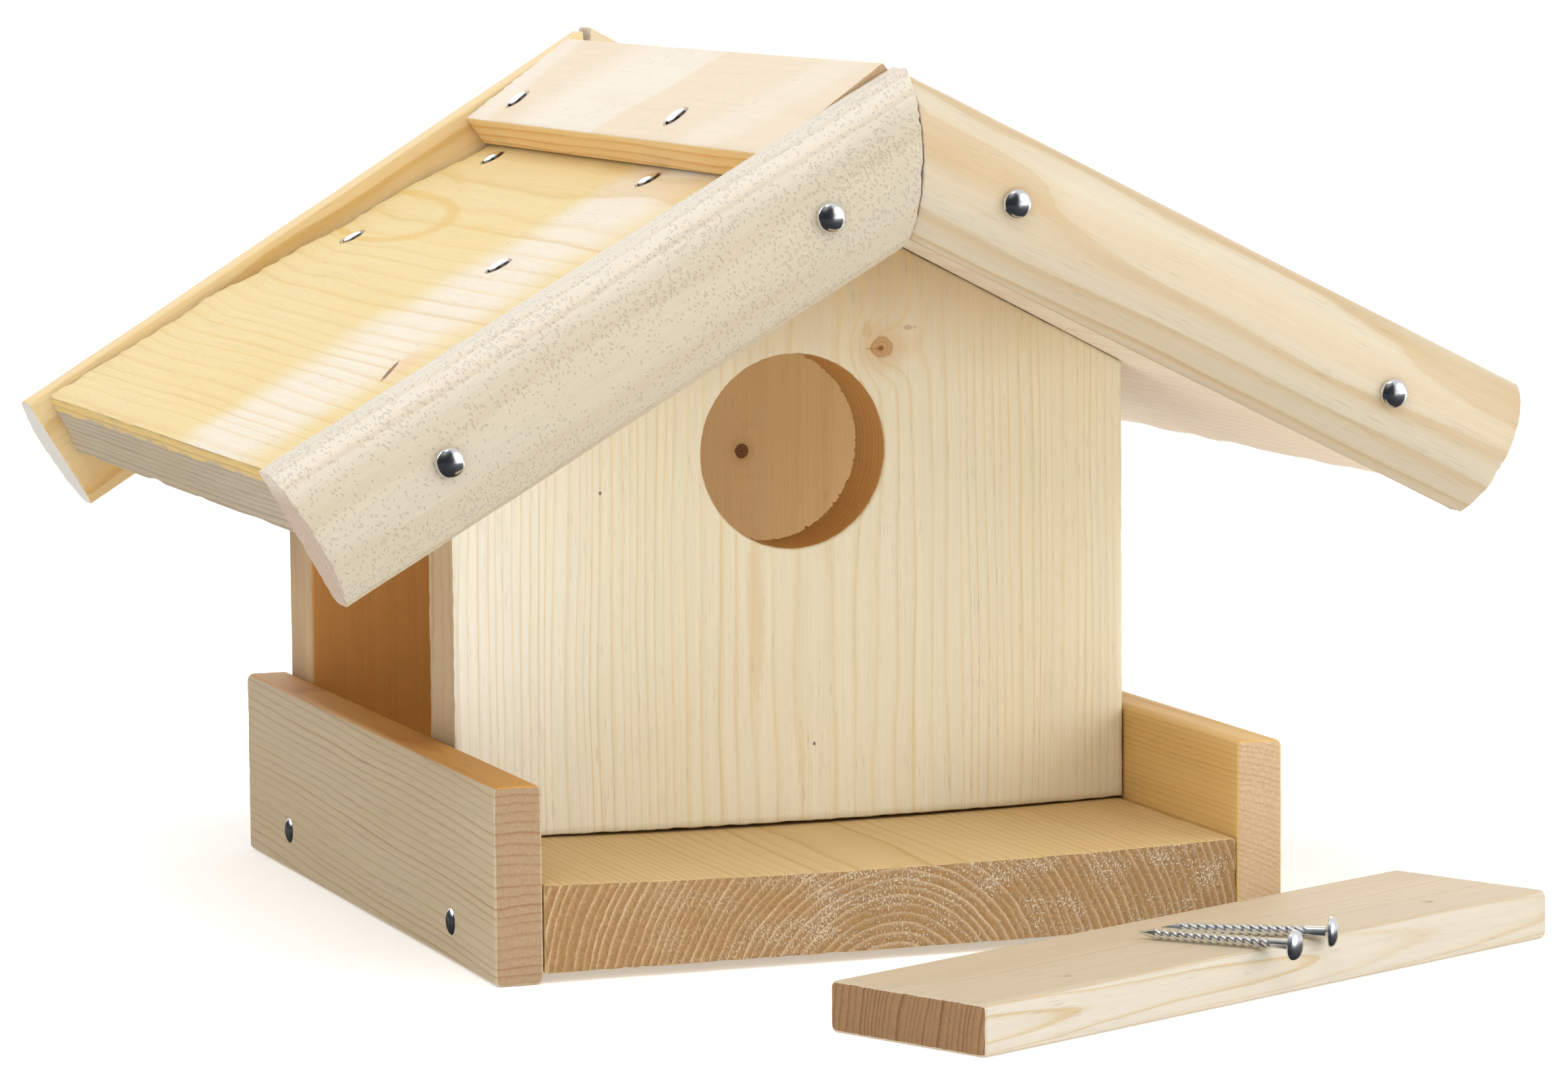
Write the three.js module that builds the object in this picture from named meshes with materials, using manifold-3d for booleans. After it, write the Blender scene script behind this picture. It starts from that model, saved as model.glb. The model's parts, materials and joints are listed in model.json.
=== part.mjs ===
// A bird feeding house in untreated spruce: a floor board with side rails, two gable walls, a roof of
// two boards with two ridge strips, four half-round bargeboards, and the dome-headed nails that hold
// it together. The front rail isn't fitted yet: it lies in front of the house with its two nails.
//
// Frame: millimetres, +X to the right, +Y to the rear, +Z up. The origin is the centre of the floor
// board's underside. The front of the house faces -Y.

import * as THREE from 'three';
import { mergeVertices } from 'three/addons/utils/BufferGeometryUtils.js';
import Module from 'manifold-3d';

const wasm = await Module();
wasm.setup();

// ---- driving dimensions -----------------------------------------------------------------------

const GAP = 0.3;                       // clearance between pieces that touch
const TURN = Math.PI / 180;

const floor = { width: 150, depth: 186, thick: 18, cup: 1.3, chamfer: 1.6 };
const rail = { height: 40, thick: 10, below: 2, round: 1.6 };
const wall = { thick: 18, eaves: 111.6, frontFace: -34, pitch: 27.3 };
const hole = { diameter: 41, height: 95.8, sides: 48 };
const roof = { thick: 15, length: 135.7, front: -100, rear: 102, chamfer: 1.4 };
const ridge = { width: 30.6, thick: 7.6, leftPitch: 35.6 };

// A bargeboard is a half-round strip: a flat back, narrow flat edges and a round face. The lower
// back corner is rounded over.
const strip = { depth: 16, edge: 6.8, round: 3.4, segments: 14 };

// Each bargeboard was cut and nailed by hand, so each has its own pitch, width, length down the lower
// edge and height of the lower edge at the ridge. The mitre is where its upper end is cut off in x,
// and nails are the places of its nails down the slope.
const bargeboards = [
  {
    name: 'bargeboard_front_left', side: -1, end: -1, mitre: -2.5,
    pitch: 29.8, width: 30.5, length: 136.3, height: 144.5, nails: [16.5, 106.4],
  },
  {
    name: 'bargeboard_front_right', side: 1, end: -1, mitre: -2.2,
    pitch: 26.3, width: 28.8, length: 132.6, height: 143.5, nails: [12, 103.3],
  },
  {
    name: 'bargeboard_rear_left', side: -1, end: 1, mitre: -0.6,
    pitch: 31.6, width: 27.4, length: 137.8, height: 148.7, nails: [15, 105],
  },
  {
    name: 'bargeboard_rear_right', side: 1, end: 1, mitre: 1.0,
    pitch: 28.4, width: 28.8, length: 135, height: 149.2, nails: [15, 105],
  },
];

const nail = { length: 35, shank: 1.0, head: 3.0, dome: 1.9, point: 3.5, sides: 12 };
const pilot = { radius: 1.35, sides: 10, spare: 0.5 };
const headSeat = { radius: 3.4, depth: 1.3, sides: 16 };

// The loose front rail: the place of its front left lower corner, and its turn about +Z.
const looseRail = { x: -22.4, y: -196.4, turn: 25.7, dents: [32.5, 143], dentHeight: 10, dentDepth: 3 };
const looseNails = [
  { name: 'loose_nail_1', tipAlong: 72.1, tipAcross: 25.7, turn: -48.6 },
  { name: 'loose_nail_2', tipAlong: 79.3, tipAcross: 25.7, turn: -32.2 },
];

const halfWidth = floor.width / 2;
const halfDepth = floor.depth / 2;
const wallTop = wall.eaves + halfWidth * Math.tan(wall.pitch * TURN);
const wallCentres = {
  front: wall.frontFace + wall.thick / 2,
  rear: halfDepth - wall.thick / 2,
};
const railOuter = halfWidth + rail.thick;

// ---- materials --------------------------------------------------------------------------------

const timber = {
  floor: { color: '#d9b98a', roughness: 0.8 },
  rail: { color: '#d2b992', roughness: 0.8 },
  wall: { color: '#ecd9ae', roughness: 0.75 },
  roof: { color: '#edcf8d', roughness: 0.75 },
  ridge: { color: '#f0d3ad', roughness: 0.75 },
  barge: { color: '#ecdfbd', roughness: 0.75 },
};
const zinc = { color: '#b9bdc2', roughness: 0.3, metalness: 1.0 };

// ---- solids -----------------------------------------------------------------------------------

function solidOf(geometry) {
  const bare = geometry.clone();
  bare.deleteAttribute('normal');
  bare.deleteAttribute('uv');
  const merged = mergeVertices(bare, 1e-4);
  return new wasm.Manifold(new wasm.Mesh({
    numProp: 3,
    vertProperties: new Float32Array(merged.attributes.position.array),
    triVerts: new Uint32Array(merged.index.array),
  }));
}

function geometryOf(solid) {
  const mesh = solid.getMesh();
  const geometry = new THREE.BufferGeometry();
  geometry.setAttribute('position', new THREE.BufferAttribute(mesh.vertProperties, 3));
  geometry.setIndex(new THREE.BufferAttribute(mesh.triVerts, 1));
  geometry.computeVertexNormals();
  return geometry;
}

// A prism whose outline lies in the XZ plane, from y = low to y = high.
function prismAlongY(outline, low, high) {
  const shape = new THREE.Shape(outline.map(([x, z]) => new THREE.Vector2(x, z)));
  const geometry = new THREE.ExtrudeGeometry(shape, { depth: high - low, bevelEnabled: false });
  geometry.rotateX(Math.PI / 2);
  geometry.translate(0, high, 0);
  return geometry;
}

// The outline of a rectangle with rounded corners.
function roundedOutline(left, bottom, right, top, radius) {
  const corners = [
    [right - radius, bottom + radius, -90],
    [right - radius, top - radius, 0],
    [left + radius, top - radius, 90],
    [left + radius, bottom + radius, 180],
  ];
  const steps = 3;
  const outline = [];
  for (const [x, z, start] of corners) {
    for (let step = 0; step <= steps; step += 1) {
      const angle = (start + 90 * step / steps) * TURN;
      outline.push([x + radius * Math.cos(angle), z + radius * Math.sin(angle)]);
    }
  }
  return outline;
}

// A rod that starts at a point and runs along a direction.
function rod(start, direction, length, radius, sides) {
  const geometry = new THREE.CylinderGeometry(radius, radius, length, sides);
  geometry.translate(0, length / 2, 0);
  const up = new THREE.Vector3(0, 1, 0);
  const along = direction.clone().normalize();
  geometry.applyQuaternion(new THREE.Quaternion().setFromUnitVectors(up, along));
  geometry.translate(start.x, start.y, start.z);
  return geometry;
}

// ---- nails ------------------------------------------------------------------------------------

// The nail's own frame: the underside of its head at the origin, its shank along -Y.
function nailGeometry() {
  const shankLength = nail.length - nail.dome;
  const profile = [
    [0, -shankLength],
    [nail.shank, -shankLength + nail.point],
    [nail.shank, 0],
    [nail.head, 0],
    [nail.head * 0.98, nail.dome * 0.28],
    [nail.head * 0.8, nail.dome * 0.66],
    [nail.head * 0.45, nail.dome * 0.92],
    [0, nail.dome],
  ];
  return new THREE.LatheGeometry(profile.map(([r, y]) => new THREE.Vector2(r, y)), nail.sides);
}

// Where a point of a sloping piece lies: along the slope from the ridge, and out from its underside.
function onSlope(side, pitch, top, along, out, y) {
  const angle = pitch * TURN;
  const x = along * Math.cos(angle) + out * Math.sin(angle);
  const z = top - along * Math.sin(angle) + out * Math.cos(angle);
  return new THREE.Vector3(side * x, y, z);
}

function intoSlope(side, pitch) {
  const angle = pitch * TURN;
  return new THREE.Vector3(-side * Math.sin(angle), 0, -Math.cos(angle));
}

// The ridge strips. The right one lies flat on its roof board and reaches just over the ridge. The
// left one bears on its own roof board at its lower edge, leans on the right one, and so is steeper.
const roofTop = roof.thick + GAP;
const rightRidge = { pitch: wall.pitch, top: wallTop, start: -9.9, out: roofTop + GAP };
const leftFoot = ridge.width * Math.cos(ridge.leftPitch * TURN);
const boardTopAtRidge = wallTop + roofTop / Math.cos(wall.pitch * TURN);
const boardTopAtLeftFoot = boardTopAtRidge - leftFoot * Math.tan(wall.pitch * TURN);
const leftRidge = {
  pitch: ridge.leftPitch,
  top: boardTopAtLeftFoot + 1.3 * GAP + ridge.width * Math.sin(ridge.leftPitch * TURN),
  start: 0,
  out: 0,
};

function roofNails() {
  const list = [];
  for (const [sideName, side] of [['left', -1], ['right', 1]]) {
    const strip = side < 0 ? leftRidge : rightRidge;
    for (const [wallName, y] of Object.entries(wallCentres)) {
      const stripTop = strip.out + ridge.thick + GAP;
      const place = `${wallName}_${sideName}`;
      list.push({
        name: `roof_nail_ridge_${place}`,
        head: onSlope(side, strip.pitch, strip.top, strip.start + 22.5, stripTop, y - 1.5),
        into: intoSlope(side, strip.pitch),
        sunk: headSeat.depth,
      });
      list.push({
        name: `roof_nail_upper_${place}`,
        head: onSlope(side, wall.pitch, wallTop, side < 0 ? 24 : 32, roofTop + GAP, y),
        into: intoSlope(side, wall.pitch),
        sunk: headSeat.depth,
      });
      list.push({
        name: `roof_nail_lower_${place}`,
        head: onSlope(side, wall.pitch, wallTop, 61, roofTop + GAP, y),
        into: intoSlope(side, wall.pitch),
        sunk: headSeat.depth,
      });
    }
  }
  return list;
}

function bargeboardNails() {
  const list = [];
  for (const board of bargeboards) {
    const face = board.end < 0 ? roof.front - strip.depth - GAP : roof.rear + strip.depth + GAP;
    board.nails.forEach((along, index) => {
      list.push({
        name: `${board.name}_nail_${index === 0 ? 'upper' : 'lower'}`,
        head: onSlope(board.side, board.pitch, board.height, along, board.width / 2, face),
        into: new THREE.Vector3(0, -board.end, 0),
        sunk: 0,
      });
    });
  }
  return list;
}

function railNails() {
  const list = [];
  for (const [sideName, side] of [['left', -1], ['right', 1]]) {
    for (const [place, y, z] of [['front', -63, 6.5], ['rear', 59, 7.2]]) {
      list.push({
        name: `side_rail_${sideName}_nail_${place}`,
        head: new THREE.Vector3(side * (railOuter + GAP), y, z),
        into: new THREE.Vector3(-side, 0, 0),
        sunk: headSeat.depth,
      });
    }
  }
  return list;
}

// The walls are nailed up through the floor.
function wallNails() {
  const list = [];
  for (const [wallName, y] of Object.entries(wallCentres)) {
    for (const [sideName, side] of [['left', -1], ['right', 1]]) {
      list.push({
        name: `wall_nail_${wallName}_${sideName}`,
        head: new THREE.Vector3(side * 48, y, 0),
        into: new THREE.Vector3(0, 0, 1),
        sunk: headSeat.depth,
      });
    }
  }
  return list;
}

// Each nail's head is given where it would rest on the wood, and then driven in by how far it is sunk.
const nails = [...roofNails(), ...bargeboardNails(), ...railNails(), ...wallNails()].map((one) => ({
  ...one,
  head: one.head.clone().addScaledVector(one.into, one.sunk),
}));

function pilotHoles() {
  return nails.map(({ head, into, sunk }) => {
    const start = head.clone().addScaledVector(into, -1);
    const hole = solidOf(rod(start, into, nail.length + pilot.spare, pilot.radius, pilot.sides));
    if (!sunk) return hole;
    const mouth = head.clone().addScaledVector(into, -sunk - GAP);
    return hole.add(solidOf(rod(mouth, into, sunk + 2 * GAP, headSeat.radius, headSeat.sides)));
  });
}

const holes = pilotHoles();

function boxesMeet(a, b) {
  return [0, 1, 2].every((axis) => a.min[axis] < b.max[axis] && b.min[axis] < a.max[axis]);
}

// A wooden piece with every nail's pilot hole that reaches it.
function drilled(geometry) {
  let solid = solidOf(geometry);
  for (const drill of holes) {
    if (boxesMeet(solid.boundingBox(), drill.boundingBox())) solid = solid.subtract(drill);
  }
  return geometryOf(solid);
}

// ---- wooden pieces ----------------------------------------------------------------------------

// The floor board has cupped: the middle of its top lies lower than its two sides.
function floorBoard() {
  const side = halfWidth - GAP;
  const steps = 10;
  const outline = [[-side, floor.chamfer], [-side + floor.chamfer, 0], [side, 0]];
  for (let step = 0; step <= steps; step += 1) {
    const across = 1 - 2 * step / steps;
    outline.push([across * side, floor.thick - floor.cup * (1 - across * across)]);
  }
  return drilled(prismAlongY(outline, -halfDepth, halfDepth));
}

function sideRail(side) {
  const low = Math.min(side * halfWidth, side * railOuter);
  const high = Math.max(side * halfWidth, side * railOuter);
  const outline = roundedOutline(low, -rail.below, high, rail.height - rail.below, rail.round);
  return drilled(prismAlongY(outline, -halfDepth, halfDepth));
}

function gableOutline() {
  const side = halfWidth - GAP;
  const base = floor.thick + GAP;
  return [[-side, base], [side, base], [side, wall.eaves], [0, wallTop], [-side, wall.eaves]];
}

function frontWall() {
  const board = solidOf(prismAlongY(gableOutline(), wall.frontFace, wall.frontFace + wall.thick));
  const start = new THREE.Vector3(0, wall.frontFace - 5, hole.height);
  const bore = rod(start, new THREE.Vector3(0, 1, 0), wall.thick + 10, hole.diameter / 2, hole.sides);
  return drilled(geometryOf(board.subtract(solidOf(bore))));
}

function rearWall() {
  return drilled(prismAlongY(gableOutline(), halfDepth - wall.thick, halfDepth));
}

// A board or strip that lies on a slope: its section is a rectangle with one chamfered corner.
function slopingBoard(side, frame, width, thick, chamfer) {
  const end = frame.start + width;
  const section = [
    [frame.start, frame.out],
    [end, frame.out],
    [end, frame.out + thick - chamfer],
    [end - chamfer, frame.out + thick],
    [frame.start, frame.out + thick],
  ];
  const outline = section.map(([along, out]) => {
    const point = onSlope(side, frame.pitch, frame.top, along, out, 0);
    return [point.x, point.z];
  });
  if (side > 0) outline.reverse();
  return drilled(prismAlongY(outline, roof.front + GAP, roof.rear - GAP));
}

function roofBoard(side) {
  const frame = { pitch: wall.pitch, top: wallTop, start: GAP, out: GAP };
  return slopingBoard(side, frame, roof.length - GAP, roof.thick, roof.chamfer);
}

function ridgeStrip(side) {
  const chamfer = 0.6;
  return slopingBoard(side, side < 0 ? leftRidge : rightRidge, ridge.width, ridge.thick, chamfer);
}

// The section of a bargeboard: across its width from the lower edge, and out from its flat back.
function stripSection(width) {
  const rise = strip.depth - strip.edge;
  const radius = (width * width / 4 + rise * rise) / (2 * rise);
  const half = Math.asin(width / 2 / radius);
  const roundSteps = 4;
  const section = [[width, 0]];
  for (let step = 0; step <= roundSteps; step += 1) {
    const angle = 90 * TURN * step / roundSteps;
    section.push([strip.round * (1 - Math.sin(angle)), strip.round * (1 - Math.cos(angle))]);
  }
  for (let step = 0; step <= strip.segments; step += 1) {
    const angle = -half + 2 * half * step / strip.segments;
    const out = strip.depth - radius + radius * Math.cos(angle);
    section.push([width / 2 + radius * Math.sin(angle), out]);
  }
  return section;
}

// A strip whose section is run down the slope from beyond the ridge, then mitred at the ridge.
function bargeboard(board) {
  const beyond = 40;
  const shape = new THREE.Shape(stripSection(board.width).map(([a, o]) => new THREE.Vector2(a, o)));
  const geometry = new THREE.ExtrudeGeometry(shape, { depth: board.length + beyond, bevelEnabled: false });
  const angle = board.pitch * TURN;
  const across = new THREE.Vector3(board.side * Math.sin(angle), 0, Math.cos(angle));
  const out = new THREE.Vector3(0, board.end, 0);
  const down = new THREE.Vector3(board.side * Math.cos(angle), 0, -Math.sin(angle));
  const start = new THREE.Vector3(0, board.end < 0 ? roof.front : roof.rear, board.height);
  start.addScaledVector(down, -beyond);
  geometry.applyMatrix4(new THREE.Matrix4().makeBasis(across, out, down).setPosition(start));
  const mirrored = across.clone().cross(out).dot(down) < 0;
  if (mirrored) flipFaces(geometry);
  const half = new THREE.BoxGeometry(400, 400, 400);
  half.translate(board.side * 200 + board.mitre, 0, 100);
  return drilled(geometryOf(solidOf(geometry).intersect(solidOf(half))));
}

// Turns every face over, after a change of frame that mirrors them.
function flipFaces(geometry) {
  for (const attribute of Object.values(geometry.attributes)) {
    const { array, itemSize } = attribute;
    for (let corner = 0; corner < array.length; corner += 3 * itemSize) {
      const second = array.slice(corner + itemSize, corner + 2 * itemSize);
      array.copyWithin(corner + itemSize, corner + 2 * itemSize, corner + 3 * itemSize);
      array.set(second, corner + 2 * itemSize);
    }
  }
}

// The loose rail in its own frame: along +X, its wide face up, its front left lower corner at the
// origin. Two nail dents are in its upper face.
function frontRail() {
  const length = floor.width + 2 * rail.thick;
  const outline = roundedOutline(0, 0, rail.height, rail.thick, rail.round);
  const board = prismAlongY(outline, -length, 0);
  board.rotateZ(Math.PI / 2);
  let solid = solidOf(board);
  for (const along of looseRail.dents) {
    const start = new THREE.Vector3(along, looseRail.dentHeight, rail.thick - looseRail.dentDepth);
    const up = new THREE.Vector3(0, 0, 1);
    solid = solid.subtract(solidOf(rod(start, up, 2 * looseRail.dentDepth, nail.shank, pilot.sides)));
  }
  return geometryOf(solid);
}

// ---- assembly ---------------------------------------------------------------------------------

const house = new THREE.Group();

function addPiece(parent, name, geometry, look) {
  const mesh = new THREE.Mesh(geometry, new THREE.MeshStandardMaterial(look));
  mesh.name = name;
  parent.add(mesh);
  return mesh;
}

addPiece(house, 'floor_board', floorBoard(), timber.floor);
addPiece(house, 'side_rail_left', sideRail(-1), timber.rail);
addPiece(house, 'side_rail_right', sideRail(1), timber.rail);
addPiece(house, 'front_wall', frontWall(), timber.wall);
addPiece(house, 'rear_wall', rearWall(), timber.wall);
addPiece(house, 'roof_board_left', roofBoard(-1), timber.roof);
addPiece(house, 'roof_board_right', roofBoard(1), timber.roof);
addPiece(house, 'ridge_strip_left', ridgeStrip(-1), timber.ridge);
addPiece(house, 'ridge_strip_right', ridgeStrip(1), timber.ridge);
for (const board of bargeboards) addPiece(house, board.name, bargeboard(board), timber.barge);

for (const { name, head, into } of nails) {
  const mesh = addPiece(house, name, nailGeometry(), zinc);
  mesh.position.copy(head);
  mesh.quaternion.setFromUnitVectors(new THREE.Vector3(0, -1, 0), into);
}

const onGround = new THREE.Group();
onGround.position.set(looseRail.x, looseRail.y, -rail.below);
onGround.rotation.z = looseRail.turn * TURN;
house.add(onGround);
addPiece(onGround, 'front_rail', frontRail(), timber.rail);

// Each loose nail lies on the rail, with its head just past the rail's front edge.
for (const { name, tipAlong, tipAcross, turn } of looseNails) {
  const mesh = addPiece(onGround, name, nailGeometry(), zinc);
  const angle = (turn - looseRail.turn) * TURN;
  const toHead = new THREE.Vector3(Math.cos(angle), Math.sin(angle), 0);
  mesh.quaternion.setFromUnitVectors(new THREE.Vector3(0, 1, 0), toHead);
  mesh.position.set(tipAlong, tipAcross, rail.thick + nail.shank + GAP);
  mesh.position.addScaledVector(toHead, nail.length - nail.dome);
}

export default house;
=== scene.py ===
"""The looks of a bird feeding house in untreated softwood: detailed boards and nails, light and camera.

Every board is modelled in a frame of its own, taken from its CAD node: x runs along the grain, y across
it and z out of its face, in millimetres from its low corner. The wood grain is solid, worked out from
those coordinates, so faces, edges and end grain agree.
"""
import json
import math

import bmesh
import bpy
from mathutils import Matrix, Vector, noise


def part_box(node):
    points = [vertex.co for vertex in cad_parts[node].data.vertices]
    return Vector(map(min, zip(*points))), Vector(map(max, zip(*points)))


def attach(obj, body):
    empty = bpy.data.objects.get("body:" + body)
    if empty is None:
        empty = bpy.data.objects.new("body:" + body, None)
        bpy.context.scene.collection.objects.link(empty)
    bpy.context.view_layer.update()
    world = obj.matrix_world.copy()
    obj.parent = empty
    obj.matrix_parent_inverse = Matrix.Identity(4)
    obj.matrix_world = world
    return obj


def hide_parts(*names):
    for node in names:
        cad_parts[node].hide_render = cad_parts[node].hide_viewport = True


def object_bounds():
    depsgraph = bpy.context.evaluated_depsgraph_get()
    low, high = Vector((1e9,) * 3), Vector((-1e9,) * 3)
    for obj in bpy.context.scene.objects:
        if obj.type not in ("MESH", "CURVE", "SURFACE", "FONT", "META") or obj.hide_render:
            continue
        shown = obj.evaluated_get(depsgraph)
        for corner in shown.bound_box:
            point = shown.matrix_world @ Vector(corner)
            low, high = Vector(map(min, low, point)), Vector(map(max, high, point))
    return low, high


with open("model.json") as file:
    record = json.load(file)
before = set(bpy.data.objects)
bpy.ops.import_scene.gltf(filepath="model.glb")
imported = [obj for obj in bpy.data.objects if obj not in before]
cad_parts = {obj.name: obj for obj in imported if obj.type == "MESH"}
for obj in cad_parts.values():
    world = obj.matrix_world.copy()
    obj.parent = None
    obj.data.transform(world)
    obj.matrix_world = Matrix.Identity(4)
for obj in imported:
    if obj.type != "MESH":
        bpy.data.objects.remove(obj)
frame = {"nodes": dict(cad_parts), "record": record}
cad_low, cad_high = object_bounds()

MM = 0.001
UP, REAR, RIGHT = Vector((0, 0, 1)), Vector((0, 1, 0)), Vector((1, 0, 0))
slot_of = {s["node"]: s["material_slot"] for s in frame["record"]["subparts"]}


def add_object(name, data, place=Matrix()):
    """A new object in the scene, put where the matrix place says."""
    made = bpy.data.objects.new(name, data)
    bpy.context.scene.collection.objects.link(made)
    made.matrix_world = place
    return made


def stand_for(piece, node, body):
    """A piece takes the place of a CAD node and rides on its body."""
    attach(piece, body)
    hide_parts(node)


# ---- placing boards ----

def board_frame(node, along, across):
    """A board's own frame as a matrix to the row frame, and its size in mm."""
    x = Vector(along).normalized()
    y = Vector(across).normalized()
    axes = Matrix((x, y, x.cross(y)))
    points = [axes @ v.co for v in frame["nodes"][node].data.vertices]
    low = Vector([min(p[i] for p in points) for i in range(3)])
    high = Vector([max(p[i] for p in points) for i in range(3)])
    back = axes.transposed()
    to_row = Matrix.Translation(back @ low) @ back.to_4x4()
    return to_row, (high - low) / MM


def slope(side, pitch):
    """The direction down a slope on that side of the ridge."""
    angle = math.radians(pitch)
    return Vector((side * math.cos(angle), 0, -math.sin(angle)))


# ---- meshes ----

# How far a board's faces swell and sink, in mm, and the size of the cells they do it in.
SWELL, SWELL_CELLS = 0.05, (60, 14, 14)
# How near an arris a board is chipped, in mm, and how a chip's size goes along the grain and across it.
WEAR_REACH = 1.5
END_CHIP, SIDE_CHIP, LONG_CHIP = (6, 0.9, 0.9), (14, 2.5, 2.5), (30, 5, 5)


def stations(size, step, edge, extra=()):
    """Places along one side of a board: close together near its arrises, and a step apart between."""
    near = [0, 0.3 * edge, 0.6 * edge, edge]
    count = max(1, round((size - 2 * edge) / step))
    middle = [edge + (size - 2 * edge) * i / count for i in range(1, count)]
    places = near + middle + [size - p for p in near] + list(extra)
    return sorted(set(round(p, 4) for p in places))


def rounded(point, size, radii):
    """A point on a box, moved in where the box's arrises are rounded."""
    inner = [min(max(c, r), s - r) for c, s, r in zip(point, size, radii)]
    out = Vector([(c - i) / r for c, i, r in zip(point, inner, radii)])
    if out.length > 1:
        out.normalize()
    return Vector([i + o * r for i, o, r in zip(inner, out, radii)])


def rough(point, stretch, seed):
    """Noise from -1 to 1 at a point, in cells of stretch mm."""
    cells = Vector([c / s for c, s in zip(point, stretch)])
    return noise.noise(cells + Vector((seed * 7.3, seed * 3.1, seed * 5.7)))


def worn(point, size, seed, chips):
    """A point near an arris, moved in by chips there. End arrises break in short fibres."""
    gaps = [min(c, s - c) for c, s in zip(point, size)]
    arris = sorted(gaps)[1]
    if arris > WEAR_REACH:
        return point
    near = 1 - arris / WEAR_REACH
    at_end = gaps[0] < WEAR_REACH
    bite = 0.35 + rough(point, END_CHIP if at_end else SIDE_CHIP, seed)
    bite += 0.8 * max(0, rough(point, LONG_CHIP, seed + 4) - 0.25)
    depth = chips * near * max(0, bite)
    moved = Vector(point)
    for axis in range(3):
        if gaps[axis] < WEAR_REACH:
            moved[axis] += depth if point[axis] < size[axis] / 2 else -depth
    return moved


def mesh_object(name, points, faces, slots, to_row, materials):
    """A smooth mesh from points in mm, with a material slot for each face."""
    mesh = bpy.data.meshes.new(name)
    mesh.from_pydata([Vector(p) * MM for p in points], [], faces)
    for material in materials:
        mesh.materials.append(material)
    mesh.polygons.foreach_set("material_index", slots)
    mesh.polygons.foreach_set("use_smooth", [True] * len(faces))
    mesh.update()
    return add_object(name, mesh, to_row)


def lattice(xs, ys, zs, place):
    """The surface of a block of cells, with each point put where place says.

    Slot 0 is the wide faces, 1 the end grain, 2 the edge at high y and 3 the edge at y = 0.
    """
    nx, ny, nz = len(xs) - 1, len(ys) - 1, len(zs) - 1
    index, points, faces, slots = {}, [], [], []

    def vertex(i, j, k):
        if (i, j, k) not in index:
            index[i, j, k] = len(points)
            points.append(place(xs[i], ys[j], zs[k]))
        return index[i, j, k]

    def side(rows, columns, corner, slot):
        for a in range(rows):
            for b in range(columns):
                around = ((a, b), (a + 1, b), (a + 1, b + 1), (a, b + 1))
                faces.append([vertex(*corner(*c)) for c in around])
                slots.append(slot)

    side(nx, ny, lambda a, b: (a, b, nz), 0)
    side(ny, nx, lambda a, b: (b, a, 0), 0)
    side(nz, nx, lambda a, b: (b, ny, a), 2)
    side(nx, nz, lambda a, b: (a, 0, b), 3)
    side(ny, nz, lambda a, b: (nx, a, b), 1)
    side(nz, ny, lambda a, b: (0, b, a), 1)
    return points, faces, slots


def board(node, body, to_row, size, look, shape=None, radii=(0.35, 1.0, 1.0), chips=0.25,
          steps=(2.2, 1.8, 1.6), extra=((), (), ())):
    """A board that stands for a CAD node: a block with worn arrises, then bent by shape."""
    seed = look["seed"]
    xs, ys, zs = [stations(s, step, max(r, 0.8), e)
                  for s, step, r, e in zip(size, steps, radii, extra)]

    def place(x, y, z):
        point = rounded(worn((x, y, z), size, seed, chips), size, radii)
        swell = SWELL * rough(point, SWELL_CELLS, seed + 1)
        moved = point - Vector((0, swell, swell))
        point = Vector([min(max(c, 0), s) for c, s in zip(moved, size)])
        return shape(point) if shape else point

    points, faces, slots = lattice(xs, ys, zs, place)
    face = wood(f"{node}_face", look)
    materials = [face, wood(f"{node}_end", look, end=True)]
    edges = look["edges"]
    for edge in ("high", "low"):
        materials.append(wood(f"{node}_{edge}_edge", {**look, **edges[edge]}) if edge in edges else face)
    stand_for(mesh_object(f"{node}_board", points, faces, slots, to_row, materials), node, body)


# ---- wood ----

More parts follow.
